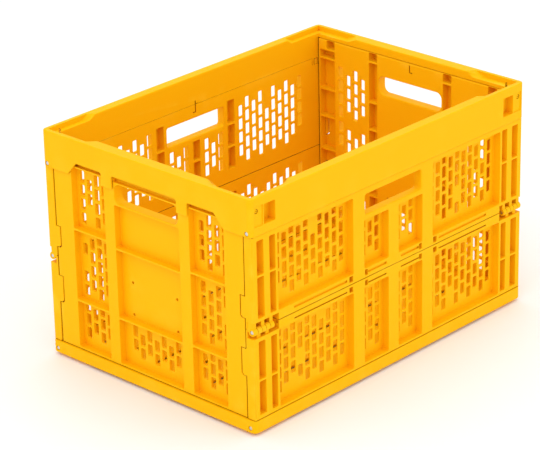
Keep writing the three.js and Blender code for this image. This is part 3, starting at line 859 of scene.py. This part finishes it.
def base_tray():
    rings = [
        (-0.8, FOOT_TOP),
        (0.0, FOOT_TOP + 0.9),
        (0.0, BASE_TOP - 0.7),
        (-0.2, BASE_TOP - 0.2),
        (-0.7, BASE_TOP),
    ]
    tray = build("base_tray_look", [(OUTLINE, rings, on_plan)])
    foot = [(-7.4, 0.0), (-6.6, 0.8), (-6.6, FOOT_TOP + 1)]
    join(tray, [(OUTLINE, foot, on_plan)])
    # the foot ring is cut away between the corners
    sloped = [(0.0, -1.0), (0.0, 0.0), (-2.0, FOOT_TOP)]
    for half_x, half_y in ((BETWEEN_FEET[0], HALF_WIDTH + 1), (HALF_LENGTH + 1, BETWEEN_FEET[1])):
        cut(tray, [(rect((-half_x, half_x), (-half_y, half_y)), sloped, on_plan)])
    above = pocket(BASE_TOP, FLOOR[1], 0.8, 1.2)
    below = pocket(0.0, FLOOR_BOTTOM, 0.6, 0.6)
    cut(tray, [(INSIDE, above, on_plan), (INSIDE, below, on_plan)])
    cut(tray, floor_slots())
    for ribs in floor_ribs():
        join(tray, ribs)
    # room for the feet of the side panels
    well_z = (4.4, BASE_TOP + 1)
    cut(tray, [block(x, y, well_z) for y in both(168.4, 179.6) for x in both(225.2, 262.4)])
    cut(tray, pin_holes(BASE_PIN, 218.0))
    return shade(tray)


# ---------- materials ----------

def tree(name):
    """A new material with its nodes, links and surface shader."""
    material = bpy.data.materials.new(name)
    material.use_nodes = True
    nodes = material.node_tree.nodes
    links = material.node_tree.links
    return material, nodes, links, nodes["Principled BSDF"]


def noise(nodes, links, scale, detail, vector):
    node = nodes.new("ShaderNodeTexNoise")
    node.inputs["Scale"].default_value = scale
    node.inputs["Detail"].default_value = detail
    links.new(vector, node.inputs["Vector"])
    return node.outputs["Fac"]


def ramp(nodes, links, factor, stops):
    """A colour that follows a factor. Each stop is a position and a colour."""
    node = nodes.new("ShaderNodeValToRGB")
    elements = node.color_ramp.elements
    while len(elements) < len(stops):
        elements.new(0.5)
    for element, (position, colour) in zip(elements, stops):
        element.position = position
        element.color = colour
    links.new(factor, node.inputs["Fac"])
    return node.outputs["Color"]


def grey(value):
    return (value, value, value, 1.0)


# plastic in the open, painted shade for a hollow and for a narrow gap, and plastic rubbed on an edge
LIT = (0.965, 0.5, 0.002, 1.0)
HOLLOW_SHADE_COLOUR = (0.98, 0.44, 0.003, 1.0)
GAP_SHADE_COLOUR = (0.30, 0.075, 0.002, 1.0)
WORN = (1.0, 0.62, 0.03, 1.0)


def openness(nodes, links, distance, stops):
    """1 where a surface is open to the room and 0 in a hollow, seen within a distance in metres."""
    node = nodes.new("ShaderNodeAmbientOcclusion")
    node.inputs["Distance"].default_value = distance
    node.samples = 8
    return ramp(nodes, links, node.outputs["AO"], stops)


def mixed(nodes, links, factor, first, second):
    """A colour that goes from the first input to the second as the factor goes from 0 to 1."""
    node = nodes.new("ShaderNodeMix")
    node.data_type = "RGBA"
    for socket, value in ((node.inputs["A"], first), (node.inputs["B"], second)):
        if isinstance(value, tuple):
            socket.default_value = value
        else:
            links.new(value, socket)
    links.new(factor, node.inputs["Factor"])
    return node.outputs["Result"]


def plastic(name, shift):
    """Moulded polypropylene: even colour with painted shade, orange in hollows and dark brown in
    narrow gaps, with a fine grain, faint scuffs and flow marks."""
    material, nodes, links, surface = tree(name)
    place = nodes.new("ShaderNodeTexCoord").outputs["Object"]
    # painted shade: ambient occlusion turns the colour orange in hollows and dark brown in narrow gaps
    hollow = openness(nodes, links, 0.011, [(0.2, grey(0.0)), (0.8, grey(1.0))])
    gap_shade_mask = openness(nodes, links, 0.004, [(0.17, grey(0.0)), (0.46, grey(1.0))])
    body = mixed(nodes, links, gap_shade_mask, GAP_SHADE_COLOUR, mixed(nodes, links, hollow, HOLLOW_SHADE_COLOUR, LIT))
    cloud = noise(nodes, links, 9.0 + shift, 3.0, place)
    tone = nodes.new("ShaderNodeHueSaturation")
    value = nodes.new("ShaderNodeMapRange")
    value.inputs["To Min"].default_value = 0.97
    value.inputs["To Max"].default_value = 1.01
    links.new(cloud, value.inputs["Value"])
    links.new(value.outputs["Result"], tone.inputs["Value"])
    links.new(body, tone.inputs["Color"])
    edges = nodes.new("ShaderNodeNewGeometry").outputs["Pointiness"]
    worn = ramp(nodes, links, edges, [(0.53, grey(0.0)), (0.62, grey(1.0))])
    patches = noise(nodes, links, 35.0, 5.0, place)
    patch = ramp(nodes, links, patches, [(0.45, grey(0.0)), (0.7, grey(0.6))])
    worn_patch = nodes.new("ShaderNodeMath")
    worn_patch.operation = "MULTIPLY"
    links.new(worn, worn_patch.inputs[0])
    links.new(patch, worn_patch.inputs[1])
    rubbed = mixed(nodes, links, worn_patch.outputs["Value"], tone.outputs["Color"], WORN)
    links.new(rubbed, surface.inputs["Base Color"])
    # gloss varies in soft patches and along faint flow marks
    stretch = nodes.new("ShaderNodeMapping")
    stretch.inputs["Scale"].default_value = (3.0, 3.0, 22.0)
    links.new(place, stretch.inputs["Vector"])
    streak = noise(nodes, links, 6.0, 4.0, stretch.outputs["Vector"])
    gloss = nodes.new("ShaderNodeMapRange")
    gloss.inputs["To Min"].default_value = 0.36
    gloss.inputs["To Max"].default_value = 0.52
    links.new(streak, gloss.inputs["Value"])
    links.new(gloss.outputs["Result"], surface.inputs["Roughness"])
    surface.inputs["Specular IOR Level"].default_value = 0.05
    surface.inputs["Subsurface Weight"].default_value = 0.06
    surface.inputs["Subsurface Radius"].default_value = (1.0, 0.45, 0.05)
    surface.inputs["Subsurface Scale"].default_value = 0.002
    # moulded grain and slight sink marks
    grain = nodes.new("ShaderNodeBump")
    grain.inputs["Strength"].default_value = 0.12
    grain.inputs["Distance"].default_value = 0.0002
    links.new(noise(nodes, links, 900.0, 2.0, place), grain.inputs["Height"])
    sink = nodes.new("ShaderNodeBump")
    sink.inputs["Strength"].default_value = 0.25
    sink.inputs["Distance"].default_value = 0.0006
    links.new(noise(nodes, links, 14.0, 2.0, place), sink.inputs["Height"])
    links.new(grain.outputs["Normal"], sink.inputs["Normal"])
    links.new(sink.outputs["Normal"], surface.inputs["Normal"])
    return material


def steel(name):
    """Drawn steel rod with fine lines along it and dull cut ends."""
    material, nodes, links, surface = tree(name)
    place = nodes.new("ShaderNodeTexCoord").outputs["Object"]
    stretch = nodes.new("ShaderNodeMapping")
    stretch.inputs["Scale"].default_value = (1.0, 40.0, 40.0)
    links.new(place, stretch.inputs["Vector"])
    lines = noise(nodes, links, 60.0, 4.0, stretch.outputs["Vector"])
    colour = ramp(nodes, links, lines, [(0.3, grey(0.5)), (0.7, grey(0.78))])
    links.new(colour, surface.inputs["Base Color"])
    gloss = nodes.new("ShaderNodeMapRange")
    gloss.inputs["To Min"].default_value = 0.2
    gloss.inputs["To Max"].default_value = 0.42
    links.new(lines, gloss.inputs["Value"])
    links.new(gloss.outputs["Result"], surface.inputs["Roughness"])
    surface.inputs["Metallic"].default_value = 1.0
    bump = nodes.new("ShaderNodeBump")
    bump.inputs["Strength"].default_value = 0.2
    bump.inputs["Distance"].default_value = 0.0001
    links.new(lines, bump.inputs["Height"])
    links.new(bump.outputs["Normal"], surface.inputs["Normal"])
    return material


def floor_material():
    material, nodes, links, surface = tree("floor_white")
    place = nodes.new("ShaderNodeTexCoord").outputs["Object"]
    cloud = noise(nodes, links, 2.0, 2.0, place)
    colour = ramp(nodes, links, cloud, [(0.3, grey(0.93)), (0.7, grey(0.95))])
    links.new(colour, surface.inputs["Base Color"])
    surface.inputs["Roughness"].default_value = 0.8
    return material


# ---------- putting it together ----------

FRAME_PLASTIC = plastic("frame_plastic_look", 0.0)
BASE_PLASTIC = plastic("base_plastic_look", 1.7)
PANEL_PLASTIC = plastic("panel_plastic_look", 3.1)
PIVOT_PLASTIC = plastic("pivot_plastic_look", 4.9)
PIN_STEEL = steel("pin_steel_look")


def attach(obj, node, body, material):
    obj.data.materials.clear()
    obj.data.materials.append(material)
    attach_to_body(obj, body)
    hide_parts(node)


def turned(obj, name):
    """A copy turned half a turn about Z, with its shape in its own vertices."""
    copy = obj.copy()
    copy.data = obj.data.copy()
    copy.data.transform(Matrix.Rotation(math.pi, 4, "Z"))
    copy.name = name
    bpy.context.scene.collection.objects.link(copy)
    return copy


def place_pair(obj, names, nodes, bodies, material):
    obj.name = names[0]
    twin = turned(obj, names[1])
    for piece, node, body in zip((obj, twin), nodes, bodies):
        attach(piece, node, body, material)


# hinge pins: the axis, and where the pin starts and ends from the crate's end
HINGE_PINS = {
    "top_hinge_pin": (TOP_PIN, 1.0, 31.0),
    "mid_hinge_pin": (MID_PIN, 3.4, 38.6),
    "base_hinge_pin": (BASE_PIN, 1.0, 45.0),
}
PIVOT_PIN = (155.0, 181.0)  # where an end panel's pivot pin starts and ends from the crate's middle
PIVOT_PIN_SLOT = ((-1.7, 1.7), (-0.35, 0.35))  # the slot across its outer end


def place_hinge_pins():
    for kind, (pin, start, end) in HINGE_PINS.items():
        for side in ("right", "left"):
            for which in ("front", "rear"):
                name = f"{kind}_{side}_{which}"
                front, rear = both_ends(*rod(pin, PIN_RADIUS, start, end, 0.35))
                # a left pin is built on the right side, at the other end, and turned
                at_front = (which == "front") == (side == "right")
                obj = build(name + "_look", [front if at_front else rear])
                if side == "left":
                    obj.data.transform(Matrix.Rotation(math.pi, 4, "Z"))
                attach(shade(obj), name, "crate_body", PIN_STEEL)


def place_pivot_pins():
    for side, sy in (("right", -1), ("left", 1)):
        for which, sx in (("front", -1), ("rear", 1)):
            name = f"end_pivot_pin_{side}_{which}"
            place = at_pivot(sy, sx)
            obj = build(name + "_look", [(disc(0, 0, PIN_RADIUS), slab(*PIVOT_PIN, 0.5), place)])
            cut(obj, [(rect(*PIVOT_PIN_SLOT), straight(PIVOT_PIN[1] - 0.8, PIVOT_PIN[1] + 1), place)])
            attach(shade(obj), name, "crate_body", PIVOT_PLASTIC)


attach(top_frame(), "top_frame", "crate_body", FRAME_PLASTIC)
attach(base_tray(), "base_tray", "crate_body", BASE_PLASTIC)
for level, panel in (("upper", upper_side()), ("lower", lower_side())):
    place_pair(
        panel,
        (f"side_right_{level}_look", f"side_left_{level}_look"),
        (f"side_right_{level}", f"side_left_{level}"),
        ("crate_body", "crate_body"),
        PANEL_PLASTIC,
    )
place_pair(
    end_panel(),
    ("end_panel_front_look", "end_panel_rear_look"),
    ("end_panel_front", "end_panel_rear"),
    ("end_panel_front", "end_panel_rear"),
    PANEL_PLASTIC,
)
place_hinge_pins()
place_pivot_pins()

# ---------- stage, light and camera ----------

# lengths are in metres from here on
FLOOR_REACH = 12.0
LIGHT_TARGET = (0.0, 0.0, 0.15)
SENSOR_WIDTH = 36.0  # millimetres, as is the focal length
FOCAL_LENGTH = 176.0
WORLD_STRENGTH = 1.02

floor_mesh = bpy.data.meshes.new("floor")
floor_corners = [(x * FLOOR_REACH, y * FLOOR_REACH, 0) for x, y in ((-1, -1), (1, -1), (1, 1), (-1, 1))]
floor_mesh.from_pydata(floor_corners, [], [(0, 1, 2, 3)])
floor = bpy.data.objects.new("floor", floor_mesh)
bpy.context.scene.collection.objects.link(floor)
floor.data.materials.append(floor_material())

world = bpy.data.worlds.new("studio")
bpy.context.scene.world = world
world.use_nodes = True
world.node_tree.nodes["Background"].inputs["Color"].default_value = (1.0, 1.0, 1.0, 1.0)
world.node_tree.nodes["Background"].inputs["Strength"].default_value = WORLD_STRENGTH


def softbox(name, place, size, power):
    """A rectangular light that points at the crate's middle."""
    light = bpy.data.lights.new(name, "AREA")
    light.shape = "RECTANGLE"
    light.size = size[0]
    light.size_y = size[1]
    light.energy = power
    obj = bpy.data.objects.new(name, light)
    obj.location = place
    obj.rotation_euler = (Vector(LIGHT_TARGET) - Vector(place)).to_track_quat("-Z", "Y").to_euler()
    bpy.context.scene.collection.objects.link(obj)


softbox("key", (-1.6, -0.6, 2.2), (1.6, 1.2), 10.0)
softbox("fill", (0.6, -2.4, 1.2), (1.8, 1.2), 4.5)
softbox("above", (0.15, 0.1, 2.4), (1.4, 1.4), 6.0)

# The camera looks at the crate's middle from the front right, a little above it.
CAMERA_PLACE = Vector((-2.349, -2.182, 1.539))
CAMERA_TARGET = Vector((-0.020, 0.016, 0.150))
CAMERA_ROLL = math.radians(-1.23)
camera_data = bpy.data.cameras.new("camera")
camera_data.sensor_width = SENSOR_WIDTH
camera_data.lens = FOCAL_LENGTH
camera = bpy.data.objects.new("camera", camera_data)
bpy.context.scene.collection.objects.link(camera)
aim = (CAMERA_TARGET - CAMERA_PLACE).to_track_quat("-Z", "Y").to_matrix()
turned_by = aim @ Matrix.Rotation(CAMERA_ROLL, 3, "Z")
camera.matrix_world = Matrix.Translation(CAMERA_PLACE) @ turned_by.to_4x4()
bpy.context.scene.camera = camera
bpy.context.scene.view_settings.view_transform = "Standard"

bpy.context.view_layer.update()
